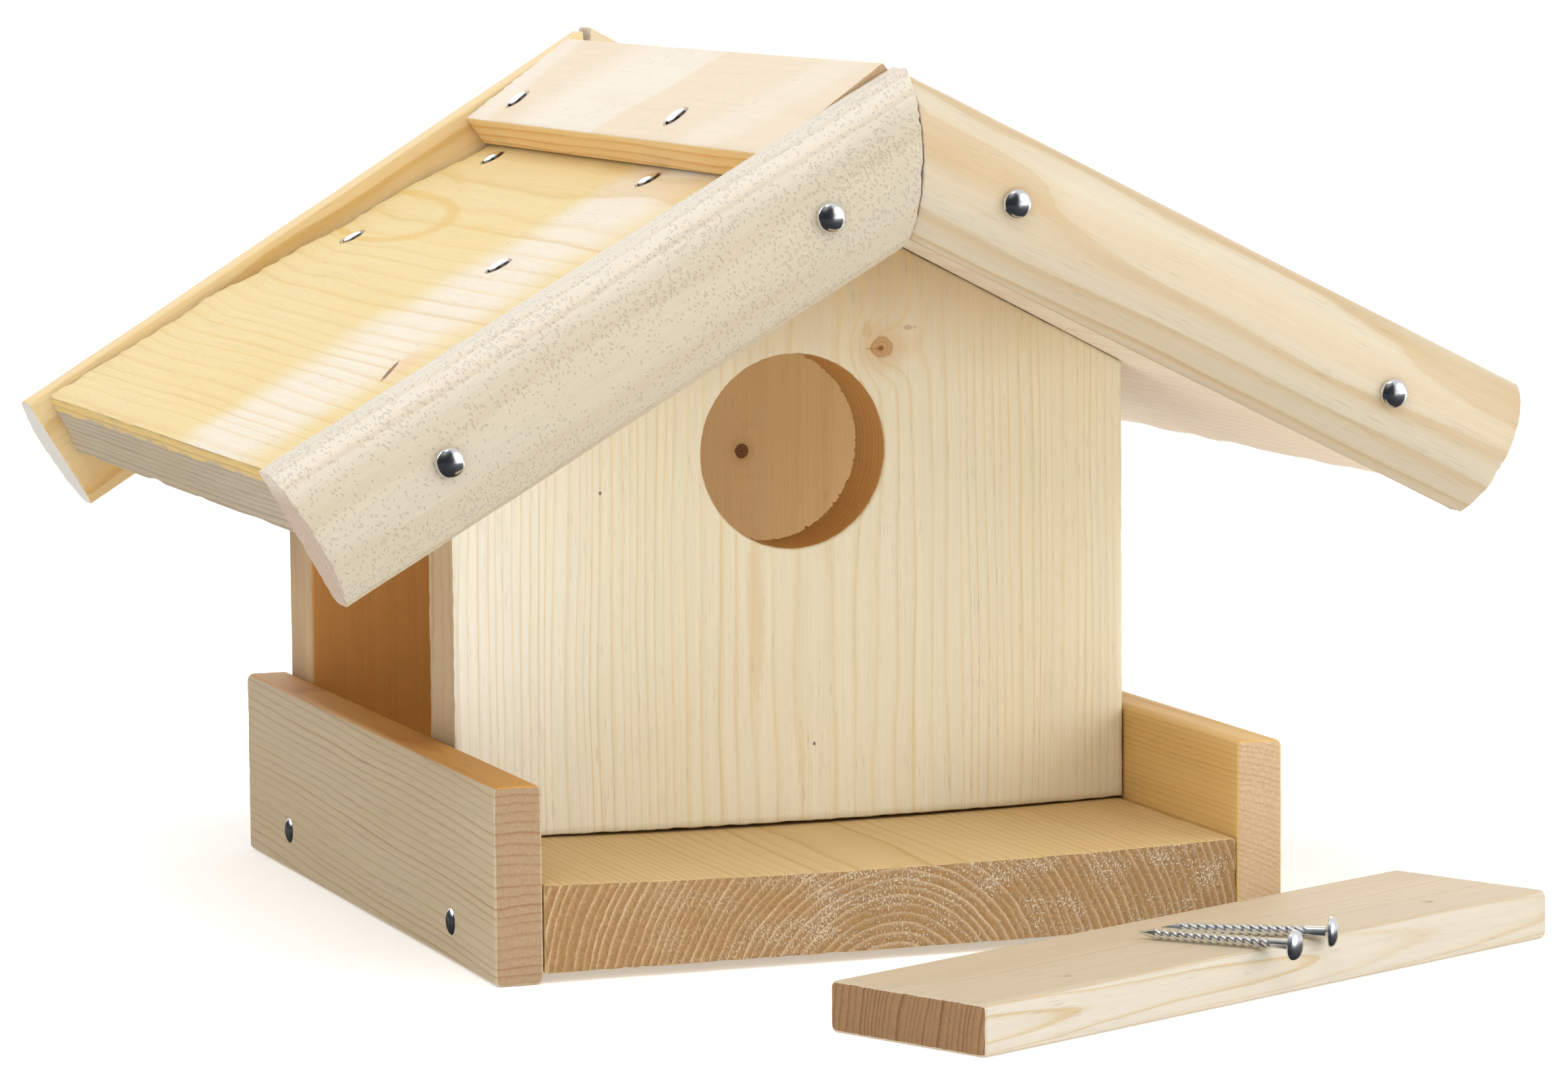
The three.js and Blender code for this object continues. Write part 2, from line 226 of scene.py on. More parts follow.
class Graph:
    """Short calls for building a material's nodes."""

    def __init__(self, name):
        self.material = bpy.data.materials.new(name)
        self.material.use_nodes = True
        self.tree = self.material.node_tree
        self.shader = self.tree.nodes["Principled BSDF"]

    def put(self, socket, value):
        if isinstance(value, bpy.types.NodeSocket):
            self.tree.links.new(value, socket)
        elif isinstance(value, (tuple, list)) and socket.type == "RGBA" and len(value) == 3:
            socket.default_value = (*value, 1)
        else:
            socket.default_value = value

    def node(self, kind, inputs=None, **settings):
        made = self.tree.nodes.new(kind)
        for key, value in settings.items():
            setattr(made, key, value)
        for key, value in (inputs or {}).items():
            self.put(made.inputs[key], value)
        return made

    def place(self):
        """A point of the piece in its own frame, in mm."""
        coordinates = self.node("ShaderNodeTexCoord").outputs["Object"]
        return self.vector("MULTIPLY", coordinates, (1 / MM, 1 / MM, 1 / MM))

    def math(self, operation, *values, clamp=False):
        inputs = dict(enumerate(values))
        return self.node("ShaderNodeMath", inputs, operation=operation, use_clamp=clamp).outputs[0]

    def add_part(self, value, share, base):
        """A value times a share, plus a base."""
        return self.math("MULTIPLY_ADD", value, share, base)

    def vary(self, base, noise, swing):
        """A base moved up and down by noise, by swing from one end of the noise to the other."""
        return self.add_part(self.math("SUBTRACT", noise, 0.5), swing, base)

    def vector(self, operation, a, b):
        return self.node("ShaderNodeVectorMath", {0: a, 1: b}, operation=operation).outputs[0]

    def split(self, point):
        """The x, y and z of a point."""
        return self.node("ShaderNodeSeparateXYZ", {0: point}).outputs

    def squares(self, a, b):
        """The sum of two squares."""
        return self.math("ADD", self.math("MULTIPLY", a, a), self.math("MULTIPLY", b, b))

    def sway(self, point, noise, reach):
        """A point moved across the grain, both ways, by a coloured noise."""
        moved = self.vector("SUBTRACT", noise, (0.5, 0.5, 0.5))
        return self.vector("ADD", point, self.vector("MULTIPLY", moved, (0, reach, reach)))

    def noise(self, point, cells, seed, detail=2.0, roughness=0.5, colour=False):
        """Noise at a point, in cells of that many mm each way."""
        scaled = self.vector("MULTIPLY", point, tuple(1 / c for c in cells))
        moved = self.vector("ADD", scaled, (seed * 13.7, seed * 5.3, seed * 9.1))
        inputs = {"Vector": moved, "Scale": 1.0, "Detail": detail, "Roughness": roughness}
        made = self.node("ShaderNodeTexNoise", inputs)
        return made.outputs["Color" if colour else "Fac"]

    def ramp(self, value, stops):
        """A value run through straight lines between (place, value) stops."""
        made = self.node("ShaderNodeValToRGB", {"Fac": value})
        elements = made.color_ramp.elements
        while len(elements) < len(stops):
            elements.new(0.5)
        for element, (place, level) in zip(elements, stops):
            element.position = place
            element.color = (level, level, level, 1)
        return made.outputs["Color"]

    def step(self, value, low, high):
        """0 below low and 1 above high, smooth between."""
        inputs = {"Value": value, "From Min": low, "From Max": high}
        made = self.node("ShaderNodeMapRange", inputs, interpolation_type="SMOOTHSTEP")
        return made.outputs["Result"]

    def mix(self, factor, a, b):
        """Colour a where the factor is 0, and colour b where it is 1."""
        made = self.node("ShaderNodeMix", data_type="RGBA")
        for socket, value in ((made.inputs[0], factor), (made.inputs[6], a), (made.inputs[7], b)):
            self.put(socket, value)
        return made.outputs[2]

    def shade(self, colour, factor):
        """A colour times a number."""
        grey = self.node("ShaderNodeCombineXYZ", {0: factor, 1: factor, 2: factor}).outputs[0]
        return self.vector("MULTIPLY", colour, grey)

    def bump(self, height, strength, distance):
        """The surface's normal where its height varies, with distance in mm."""
        inputs = {"Strength": strength, "Distance": distance * MM, "Height": height}
        return self.node("ShaderNodeBump", inputs).outputs["Normal"]

    def coat(self, **values):
        """The material, with values on its shader's sockets, which are named with _ for a space."""
        for socket, value in values.items():
            self.put(self.shader.inputs[socket.replace("_", " ")], value)
        return self.material


# Cells of noise in mm, along the grain, across it and out of the face: fine fibres and wider streaks.
FIBRE, STREAK = (9, 0.22, 0.22), (40, 0.9, 0.9)
END_FIBRE, END_STREAK = (1.2, 0.28, 0.28), (3, 0.7, 0.7)
# How far the rings ripple, in mm; how fast a knot's swirl fades; how much late wood stands up.
RIPPLE, SWIRL_FADE, RELIEF = 0.5, 0.16, 0.5
TORN_FIBRES = (0.82, 0.66, 0.47)


def wood(name, look, end=False):
    """Softwood: pale early wood and darker late wood in year rings, fibres, knots and stains."""
    g = Graph(name)
    point = g.place()
    seed = look["seed"]
    late, knots = late_wood(g, point, look, end)
    colour = g.mix(late, early_wood(g, point, look, end), look["end_late" if end else "late"])

    fine = g.noise(point, END_FIBRE if end else FIBRE, seed + 9, detail=3.0, roughness=0.65)
    streaks = g.noise(point, END_STREAK if end else STREAK, seed + 11, detail=2.0)
    fibre = look["end_fibre" if end else "fibre"]
    level = g.vary(g.vary(1.0, fine, fibre), streaks, fibre * 0.7)
    height = g.math("MULTIPLY", late, RELIEF)
    height = g.add_part(fine, look["end_tooth"] if end else 0.55, height)
    height = g.add_part(streaks, 0.6 if end else 0.5, height)
    if end:
        colour, height = end_grain(g, point, look, g.shade(colour, level), height)
    else:
        colour, height = face_grain(g, point, look, colour, level, height)

    for near, branch in knots:
        colour = knot_colour(g, colour, near, branch, point)
    for mark in look["marks"]:
        colour = g.mix(mark_mask(g, point, mark), colour, mark["colour"])
    return g.coat(
        Base_Color=colour, Roughness=g.add_part(fine, 0.2, 0.72 if end else look["rough"]),
        Specular_IOR_Level=0.25 if end else 0.35, Normal=g.bump(height, 1.0, look["bump"]))


def ring_field(g, point, look):
    """How many year rings lie between the pith and a point."""
    seed = look["seed"]
    bent = g.sway(point, g.noise(point, (90, 22, 22), seed, detail=1.5, colour=True), look["wander"])
    bent = g.sway(bent, g.noise(point, (26, 3.0, 3.0), seed + 2, detail=1.0, colour=True), RIPPLE)
    along, *outward = g.split(bent)
    y, z = [g.math("SUBTRACT", part, g.add_part(along, lean, pith))
            for part, lean, pith in zip(outward, look["lean"], look["pith"])]
    radius = g.math("SQRT", g.squares(y, z))
    thin = g.math("DIVIDE", radius, look["ring"] * 5)
    uneven = g.node("ShaderNodeTexNoise", {"W": thin, "Scale": 1.0, "Detail": 1.0},
                    noise_dimensions="1D").outputs["Fac"]
    return g.add_part(uneven, look["uneven"], g.math("DIVIDE", radius, look["ring"]))


def late_wood(g, point, look, end):
    """How much late wood there is at a point, and how near the point is to each knot."""
    rings = ring_field(g, point, look)
    knots = []
    for branch in look["knots"]:
        near, square = nearness(g, point, branch)
        knots.append((near, branch))
        swirl = g.math("EXPONENT", g.math("MULTIPLY", square, -SWIRL_FADE))
        rings = g.add_part(swirl, branch["push"], rings)
    late = g.ramp(g.math("FRACT", rings), look["profile"])
    year = g.math("FLOOR", rings)
    luck = g.node("ShaderNodeTexWhiteNoise", {"W": year}, noise_dimensions="1D").outputs["Value"]
    patchy = g.noise(point, (70, 12, 12), look["seed"] + 5)
    strength = g.math("MULTIPLY", g.add_part(luck, 0.55, 0.45), g.add_part(patchy, 1.1, 0.4))
    contrast = look["contrast"] * (look["end_contrast"] if end else 1.0)
    return g.math("MULTIPLY", late, g.math("MULTIPLY", strength, contrast), clamp=True), knots


def early_wood(g, point, look, end):
    """The colour between the late rings: early wood with stains, bands and a rim of another shade."""
    seed = look["seed"]
    stain = g.step(g.noise(point, look["stain_cells"], seed + 7, detail=2.5), 0.42, 0.68)
    plain, stained = ("end_early", "end_early") if end else ("early", "stain")
    base = g.mix(g.math("MULTIPLY", stain, look["stain_amount"]), look[plain], look[stained])
    for stripe in look["bands"]:
        base = g.mix(band_mask(g, point, stripe, seed), base, stripe["colour"])
    if look["rim"]:
        shade, start = look["rim"]
        ragged = g.noise(point, (9, 2, 2), seed + 23, detail=2.5)
        out = g.vary(g.split(point)[2], ragged, 4.0)
        base = g.mix(g.step(out, start, start + 0.8), base, shade)
    return base


def face_grain(g, point, look, colour, level, height):
    """A face's short dark pores, and the ridges where it was sawn roughly."""
    seed = look["seed"]
    pores = g.noise(point, look["pore_cells"], seed + 13, detail=0.0)
    crowd = g.noise(point, (30, 9, 9), seed + 14, detail=1.0)
    cut = look["pore_cut"]
    pores = g.step(g.vary(pores, crowd, 0.35), cut, cut + 0.07)
    colour = g.shade(colour, g.add_part(pores, -look["pores"], level))
    if look["pore_depth"]:
        height = g.add_part(pores, -look["pore_depth"], height)
    if look["sawn"]:
        height = g.add_part(g.noise(point, look["sawn"], seed + 17), 1.6, height)
    return colour, height


def end_grain(g, point, look, colour, height):
    """The saw's marks on end grain, and pale torn fibres that stand up from it."""
    seed = look["seed"]
    height = g.add_part(g.noise(point, (0.9, 7, 0.5), seed + 15, detail=1.0), 0.9, height)
    if look["fuzz"]:
        fuzz = g.noise(point, (0.8, 0.42, 0.55), seed + 19, detail=1.5)
        crowd = g.noise(point, (30, 11, 6), seed + 20, detail=1.0)
        fuzz = g.step(g.vary(fuzz, crowd, 0.5), 0.52, 0.66)
        fuzz = g.math("MULTIPLY", fuzz, g.step(g.split(point)[1], *look["fuzz_side"]))
        colour = g.mix(g.math("MULTIPLY", fuzz, look["fuzz"]), colour, TORN_FIBRES)
        height = g.add_part(fuzz, 3.0, height)
    return colour, height


def nearness(g, point, mark):
    """How near a point is to a mark's centre, in the mark's half sizes, and that squared."""
    x, y, _ = g.split(point)
    x = g.math("SUBTRACT", x, mark["at"][0])
    y = g.math("SUBTRACT", y, mark["at"][1])
    turn = math.radians(mark["turn"])
    cosine, sine = math.cos(turn), math.sin(turn)
    along = g.add_part(y, sine, g.math("MULTIPLY", x, cosine))
    across = g.add_part(y, cosine, g.math("MULTIPLY", x, -sine))
    along = g.math("DIVIDE", along, mark["size"][0])
    across = g.math("DIVIDE", across, mark["size"][1])
    square = g.squares(along, across)
    return g.math("SQRT", square), square


def band_mask(g, point, stripe, seed):
    """1 inside a wandering band across a board, 0 outside."""
    x, y, _ = g.split(point)
    run = g.add_part(y, stripe["across"][1], g.math("MULTIPLY", x, stripe["across"][0]))
    wave = g.noise(point, stripe["wave_cells"], seed + 21, detail=2.5)
    run = g.math("ADD", run, g.math("MULTIPLY", g.math("SUBTRACT", wave, 0.5), stripe["wave"]))
    low, high = stripe["from_to"]
    soft_low, soft_high = stripe["soft"]
    inside = g.math("MULTIPLY", g.step(run, low, low + soft_low), g.step(run, high, high - soft_high))
    return g.math("MULTIPLY", inside, stripe["amount"])


def mark_mask(g, point, mark):
    """1 in a small spot or streak on a face, or on its outline alone, and 0 elsewhere."""
    near, _ = nearness(g, point, mark)
    ragged = g.noise(point, (2.5, 0.8, 0.8), mark["at"][0])
    near = g.vary(near, ragged, mark["ragged"])
    if mark["stroke"]:
        off = g.math("ABSOLUTE", g.math("SUBTRACT", near, 1.0))
        inside = g.step(off, mark["stroke"], 0.3 * mark["stroke"])
    else:
        inside = g.step(near, 1.0, 1.0 - mark["soft"])
    return g.math("MULTIPLY", inside, mark["amount"])


def knot_colour(g, colour, near, branch, point):
    """A knot: a warm halo, a brown heart with its own rings, and a dark rim where it is dead."""
    ragged = g.noise(point, (1.6, 1.6, 1.6), branch["at"][1])
    near = g.vary(near, ragged, 0.35)
    halo = g.math("MULTIPLY", g.step(near, 3.2, 0.9), branch["halo"])
    colour = g.mix(halo, colour, branch["warm"])
    rings = g.math("SINE", g.math("MULTIPLY", near, 16))
    heart = g.mix(g.add_part(rings, branch["rings"], 0.35), branch["heart"], branch["dark"])
    colour = g.mix(g.step(near, 1.05, 0.85), colour, heart)
    rim = g.math("MULTIPLY", g.step(near, 0.72, 0.95), g.step(near, 1.18, 0.98))
    colour = g.mix(g.math("MULTIPLY", rim, branch["rim"]), colour, branch["dark"])
    return g.mix(g.step(near, 0.22, 0.10), colour, branch["dark"])


# ---- the looks of each board ----

# The share of late wood through one year, as (part of the year, share).
WIDE_RING = ((0.0, 0.55), (0.07, 0.0), (0.42, 0.06), (0.70, 0.30), (0.90, 1.0), (1.0, 0.9))
THIN_RING = ((0.0, 0.45), (0.10, 0.0), (0.60, 0.04), (0.80, 0.30), (0.92, 1.0), (1.0, 0.85))
BROWN = (0.10, 0.035, 0.010)
# Where the front rail's pilot dents are on its face.
DENTS = ((32.5, 10), (143, 10))

# What every look has unless it says otherwise. Places and sizes are in mm, in the board's own frame.
PINE = {
    "end_early": (0.56, 0.38, 0.22), "end_late": (0.36, 0.20, 0.10),
    # Year rings: how far apart, how dark, and how they wander; the pith's lean is per mm of length.
    "ring": 2.0, "contrast": 0.6, "end_contrast": 1.5, "profile": WIDE_RING,
    "wander": 5.0, "uneven": 2.2, "lean": (0, 0),
    # Stains, bands across the board, another shade beyond a height out of the face, knots and marks.
    "stain_cells": (120, 26, 26), "stain_amount": 0.5,
    "bands": (), "rim": None, "knots": (), "marks": (), "edges": {},
    # Fibres and pores: how strong, and how deep.
    "fibre": 0.16, "end_fibre": 0.5, "end_tooth": 2.2, "fuzz": 0, "sawn": None,
    "pore_cells": (5.5, 0.32, 0.32), "pore_cut": 0.73, "pores": 0.12, "pore_depth": 0,
    "bump": 0.10, "rough": 0.52,
}


def look_of(**changes):
    """A board's look: what pine has, with changes."""
    return {**PINE, **changes}


def band(across, from_to, soft, wave, colour, amount, wave_cells=(30, 18, 18)):
    """A band of another shade: from_to is measured along across, with soft edges that wave."""
    return {"across": across, "from_to": from_to, "soft": soft, "wave": wave, "colour": colour,
            "amount": amount, "wave_cells": wave_cells}


def spot(at, size, colour, amount=0.8, ragged=0.8, soft=0.5, stroke=None, turn=0):
    """A mark on a face, with half sizes along and across it. A stroke draws only its outline."""
    return {"at": at, "size": size, "colour": colour, "amount": amount, "ragged": ragged,
            "soft": soft, "stroke": stroke, "turn": turn}


def knot(at, size, heart, dark, warm, push, halo=0.45, rings=0.25, rim=0.7):
    """A knot that pushes the rings round it aside by push years."""
    return {"at": at, "size": size, "heart": heart, "dark": dark, "warm": warm, "push": push,
            "halo": halo, "rings": rings, "rim": rim, "turn": 0}


LOOKS = {
    "floor_board": look_of(
        seed=1, pith=(76, -12.8), ring=1.75, wander=3.0, uneven=1.2,
        early=(0.655, 0.48, 0.24), late=(0.46, 0.265, 0.08), stain=(0.60, 0.40, 0.17),
        end_early=(0.40, 0.225, 0.085), end_late=(0.70, 0.50, 0.31), end_contrast=1.7, end_tooth=4.0,
        fuzz=0.9, fuzz_side=(150, 70), end_fibre=0.9,
    ),
    "side_rail_left": look_of(
        seed=2, pith=(-70, 5), contrast=0.8, lean=(0.025, 0), uneven=1.4,
        early=(0.545, 0.44, 0.29), late=(0.40, 0.25, 0.11), stain=(0.525, 0.40, 0.245),
        end_early=(0.43, 0.29, 0.17), end_late=(0.31, 0.15, 0.065), profile=THIN_RING, wander=3.0,
        end_contrast=1.0,
        edges={"high": dict(early=(0.58, 0.30, 0.07), late=(0.42, 0.17, 0.03), stain=(0.56, 0.28, 0.06))},
    ),
    "side_rail_right": look_of(
        seed=3, pith=(-15.5, -9.3), ring=1.15, wander=2.0, uneven=1.2,
        early=(0.755, 0.51, 0.20), late=(0.55, 0.295, 0.08), stain=(0.695, 0.435, 0.135),
        end_early=(0.68, 0.49, 0.30), end_late=(0.48, 0.29, 0.15), end_contrast=1.1,
    ),
    "front_rail": look_of(
        seed=4, pith=(-70, -12), ring=1.35, contrast=0.5, wander=4.0, lean=(0.015, 0),
        early=(0.62, 0.52, 0.38), late=(0.49, 0.34, 0.18), stain=(0.58, 0.46, 0.31),
        end_early=(0.36, 0.21, 0.10), end_late=(0.19, 0.08, 0.03), end_contrast=1.8,
        edges={
            "low": dict(early=(0.62, 0.56, 0.46), late=(0.54, 0.38, 0.18), ring=1.6, pith=(-2.5, 5),
                        lean=(-0.035, 0.01), stain=(0.62, 0.55, 0.43), contrast=0.8, profile=THIN_RING,
                        uneven=1.0, wander=3.0),
        },
        # Painted shade: each pilot dent is darkened brown, as the shade in its recess.
        marks=[spot(dent, (2.0, 1.1), colour=(0.42, 0.25, 0.13), amount=0.55) for dent in DENTS],
    ),
    "front_wall": look_of(
        seed=5, pith=(80, 34), ring=1.65, contrast=0.58, wander=4.0, early=(0.85, 0.79, 0.61),
        late=(0.74, 0.53, 0.22), stain=(0.86, 0.75, 0.50), stain_amount=0.4, profile=THIN_RING,
        uneven=2.6,
        bands=[
            band((0, 1), (-20, 46), soft=(1, 40), wave=6, colour=(0.94, 0.92, 0.83), amount=0.8),
            # Painted shadow: the wall turns a darker warm brown towards its top, where the roof's
            # overhang shades it.
            band((1, 0), (86, 400), soft=(44, 1), wave=10, colour=(0.50, 0.31, 0.13), amount=0.9),
        ],
        knots=[
            knot((98.6, 94.6), (2.3, 2.6), heart=(0.66, 0.42, 0.21), dark=(0.42, 0.21, 0.08),
                 warm=(0.68, 0.47, 0.25), push=2.6, rim=0.15, halo=0.5, rings=0.15),
        ],
        marks=[
            spot((98.4, 94.4), (0.8, 0.9), colour=(0.20, 0.08, 0.03)),
            spot((98.4, 92.4), (0.15, 1.8), colour=(0.34, 0.16, 0.06)),
            spot((102.5, 91.2), (2.2, 1.4), colour=(0.68, 0.46, 0.22), amount=0.5),
            spot((102.6, 100.6), (0.5, 2.2), colour=(0.42, 0.24, 0.10), amount=0.5, ragged=2.0),
            spot((54, 71), (7, 0.8), colour=(0.86, 0.78, 0.62), amount=0.5),
            spot((48.5, 80.3), (5, 3.2), colour=(0.86, 0.79, 0.63), amount=0.45),
            spot((44, 66), (26, 2.4), colour=(0.76, 0.58, 0.34), amount=0.45),
            spot((15.5, 78.8), (0.5, 0.4), colour=BROWN),
            spot((70.5, 32), (0.5, 0.35), colour=BROWN),
        ],
        # The hole's bore is a darker orange brown: partly the grain cut across there, partly painted
        # shade inside the hole.
        bore=dict(early=(0.65, 0.36, 0.12), late=(0.45, 0.20, 0.05), contrast=0.9,
                  stain=(0.56, 0.29, 0.09), bands=()),
        edges={"low": dict(early=(0.56, 0.41, 0.24), late=(0.43, 0.25, 0.11), bands=())},
    ),
    "rear_wall": look_of(
        seed=6, pith=(84, 90), ring=3.4, contrast=0.25, wander=7.0, early=(0.97, 0.67, 0.34),
        late=(0.76, 0.42, 0.15), stain=(0.95, 0.67, 0.36),
        bands=[
            band((0, 1), (-40, 42), soft=(1, 14), wave=8, wave_cells=(60, 10, 10),
                 colour=(0.66, 0.295, 0.066), amount=0.9),
        ],
        rim=((0.80, 0.68, 0.46), 6),
        edges={
            "low": dict(early=(0.42, 0.30, 0.175), late=(0.33, 0.19, 0.08), bands=(), rim=None),
            "high": dict(early=(0.76, 0.62, 0.41), late=(0.58, 0.36, 0.15), bands=(), rim=None),
        },
        knots=[
            knot((66.9, 101.9), (1.6, 1.5), heart=(0.34, 0.14, 0.05), dark=BROWN,
                 warm=(0.72, 0.42, 0.18), push=1.6),
        ],
        marks=[
            spot((57, 106), (11, 3.4), colour=(0.98, 0.74, 0.47), amount=0.3, ragged=1.6),
            spot((75, 107), (3.5, 2.6), colour=(0.98, 0.74, 0.47), amount=0.3),
        ],
    ),
    "roof_board_left": look_of(
        seed=7, pith=(26, -36), ring=3.0, contrast=0.5, wander=4.0, early=(0.80, 0.63, 0.31),
        late=(0.68, 0.42, 0.10), stain=(0.80, 0.61, 0.25), end_early=(0.70, 0.52, 0.30),
        end_late=(0.46, 0.28, 0.12), rough=0.6, profile=THIN_RING,
        bands=[
            band((1, 0.1), (34, 106), wave=22, soft=(26, 24), colour=(0.84, 0.76, 0.63), amount=0.9),
            band((1, 0.1), (-40, 36), wave=14, soft=(10, 26), colour=(0.78, 0.63, 0.37), amount=0.6),
        ],
        marks=[
            spot((36, 96.5), (10, 5), turn=141, colour=(0.80, 0.54, 0.30), amount=0.6, soft=0.8),
            spot((37.8, 99.5), (6.8, 1.0), turn=141, colour=(0.22, 0.085, 0.025), amount=0.9, ragged=0.7),
            spot((180, 51), (36, 9.5), colour=(0.74, 0.47, 0.11), stroke=0.17, amount=0.6, ragged=0.3),
        ],
        edges={
            "high": dict(early=(0.54, 0.44, 0.31), late=(0.35, 0.25, 0.14), bands=(),
                         stain=(0.52, 0.41, 0.27), sawn=(70, 1.0, 0.7), bump=0.5, pith=(150, -90),
                         wander=1.5, uneven=1.0, ring=1.5, rim=((0.80, 0.56, 0.20), 11.4), contrast=0.8,
                         marks=()),
        },
    ),
    "roof_board_right": look_of(
        # Painted light: the underside is paler than the top face (whose colour the rim sets), standing in
        # for light bounced up from the floor.
        seed=8, pith=(90, -40), ring=2.6, contrast=0.4, wander=8.0, early=(0.90, 0.83, 0.71),
        late=(0.74, 0.58, 0.41), stain=(0.90, 0.79, 0.63), rough=0.6, sawn=(30, 2.0, 1.1),
        rim=((0.80, 0.66, 0.40), 7),
        edges={"low": dict(early=(0.76, 0.62, 0.41), late=(0.56, 0.37, 0.17), rim=None)},
    ),
    "ridge_strip_left": look_of(
        seed=9, pith=(16, -70), ring=2.5, contrast=0.2, wander=3.0, early=(0.77, 0.64, 0.47),
        late=(0.69, 0.47, 0.24), stain=(0.77, 0.63, 0.45),
        bands=[
            band((1, -0.67), (89, 158), wave=10, soft=(3, 24), colour=(0.81, 0.73, 0.61), amount=0.85),
            band((1, 0.1), (184, 260), wave=8, soft=(10, 10), colour=(0.81, 0.73, 0.61), amount=0.8),
            band((1, -0.95), (-2, 34), wave=12, soft=(14, 12), colour=(0.80, 0.71, 0.58), amount=0.6),
        ],
        edges={
            "high": dict(early=(0.86, 0.60, 0.27), late=(0.72, 0.39, 0.10), bands=(), contrast=1.1,
                         stain=(0.84, 0.58, 0.27)),
        },
    ),
    "ridge_strip_right": look_of(
        seed=10, pith=(16, -30), ring=3.0, contrast=0.4, wander=6.0, early=(0.86, 0.73, 0.53),
        late=(0.70, 0.45, 0.20), stain=(0.86, 0.70, 0.47),
    ),
    "bargeboard_front_left": look_of(
        seed=11, pith=(8, -60), ring=2.9, contrast=0.42, wander=4.0, early=(0.565, 0.505, 0.39),
        late=(0.48, 0.36, 0.21), stain=(0.565, 0.475, 0.34), end_early=(0.60, 0.47, 0.36),
        end_late=(0.46, 0.31, 0.22), end_contrast=1.3, pore_cells=(0.5, 0.85, 0.85), pore_cut=0.675,
        pores=0.03, pore_depth=1.3, bump=0.12,
        bands=[
            band((0, 1), (-20, 8), soft=(1, 7), wave=3, colour=(0.78, 0.71, 0.60), amount=0.85),
        ],
    ),
    "bargeboard_front_right": look_of(
        seed=12, pith=(6, -16), ring=3.4, contrast=0.8, wander=6.0, early=(0.63, 0.55, 0.41),
        late=(0.52, 0.36, 0.18), stain=(0.61, 0.49, 0.32), end_early=(0.68, 0.62, 0.55),
        end_late=(0.56, 0.46, 0.36), stain_amount=0.7, stain_cells=(150, 9, 9),
    ),
    "bargeboard_rear_left": look_of(
        seed=13, pith=(14, -40), ring=2.2, contrast=0.75, wander=4.0, early=(0.81, 0.63, 0.34),
        late=(0.66, 0.39, 0.11), stain=(0.81, 0.57, 0.26), end_early=(0.72, 0.68, 0.62),
        end_late=(0.60, 0.54, 0.47), end_contrast=0.5, end_fibre=0.3,
    ),
    "bargeboard_rear_right": look_of(
        seed=14, pith=(18, -26), ring=3.2, contrast=0.45, early=(0.76, 0.65, 0.46),
        late=(0.60, 0.40, 0.19), stain=(0.74, 0.59, 0.38), end_early=(0.80, 0.68, 0.52),
        end_late=(0.66, 0.48, 0.32),
    ),
}


# ---- the boards ----

WALL_PITCH = 27.3
RIDGE_LEFT_PITCH = 35.6
LOOSE_RAIL_TURN = 25.7
BARGE_PITCH = {
    "bargeboard_front_left": 29.8, "bargeboard_front_right": 26.3,
    "bargeboard_rear_left": 31.6, "bargeboard_rear_right": 28.4,
}
HOLE_RADIUS, HOLE_HEIGHT = 20.5, 95.8
# How far the floor board's face sinks at its middle, and how far the front wall's foot follows it.
CUP, FOOT_SAG, FOOT_REACH = 1.3, 0.9, 4
# A bargeboard's thickness at its edges, and the radius of its lower one.
BARGE_EDGE, BARGE_ROUND = 6.8, 3.4
# How much a mitre is worn, and how much closer it meets than it would unworn.
MITRE_WEAR, MITRE_CLOSE = 0.35, 0.12
DENT_RADIUS, DENT_DEPTH = 1.4, 2.2


def make_floor():
    to_row, size = board_frame("floor_board", REAR, -RIGHT)

    def cupped(p):
        across = 2 * p.y / size.y - 1
        return p - Vector((0, 0, CUP * (1 - across * across) * p.z / size.z))

    board("floor_board", "house", to_row, size, LOOKS["floor_board"], cupped, chips=0.35,
          radii=(0.4, 0.8, 0.8))


def make_side_rails():
    for side in ("left", "right"):
        node = f"side_rail_{side}"
        to_row, size = board_frame(node, REAR, UP)
        board(node, "house", to_row, size, LOOKS[node], radii=(0.5, 1.6, 1.6), chips=0.15,
              steps=(2.4, 1.6, 1.3))


def make_front_rail():
    turn = math.radians(LOOSE_RAIL_TURN)
    along = Vector((math.cos(turn), math.sin(turn), 0))
    to_row, size = board_frame("front_rail", along, UP.cross(along))
    dents = [Vector((*dent, size.z)) for dent in DENTS]
    rings = (-1.6, -1.1, -0.7, -0.3, 0, 0.3, 0.7, 1.1, 1.6)

    def dented(p):
        for dent in dents:
            gap = (p - dent).xy.length
            if gap < DENT_RADIUS and p.z > size.z / 2:
                p = p - Vector((0, 0, DENT_DEPTH * (1 - gap / DENT_RADIUS) ** 0.7))
        return p

    extra = ([d.x + r for d in dents for r in rings], [dents[0].y + r for r in rings], ())
    board("front_rail", "loose_rail", to_row, size, LOOKS["front_rail"], dented,
          radii=(0.5, 1.6, 1.6), chips=0.15, steps=(2.2, 1.4, 1.3), extra=extra)


def gable(size):
    """How tall a gable wall is at each place across it."""
    tangent = math.tan(math.radians(WALL_PITCH))
    return lambda y: size.x - abs(y - size.y / 2) * tangent


def make_rear_wall():
    to_row, size = board_frame("rear_wall", UP, RIGHT)
    height = gable(size)

    def pitched(p):
        return Vector((p.x * height(p.y) / size.x, p.y, p.z))

    board("rear_wall", "house", to_row, size, LOOKS["rear_wall"], pitched,
          extra=((), (size.y / 2,), ()))


# How much higher the front wall's slopes reach than in CAD, to meet the roof.
WALL_RISE = 0.25
# The front wall is made of sections round its hole: how many, and each one's steps out and through.
SECTIONS, STEPS_OUT, STEPS_THROUGH = 300, 44, 8
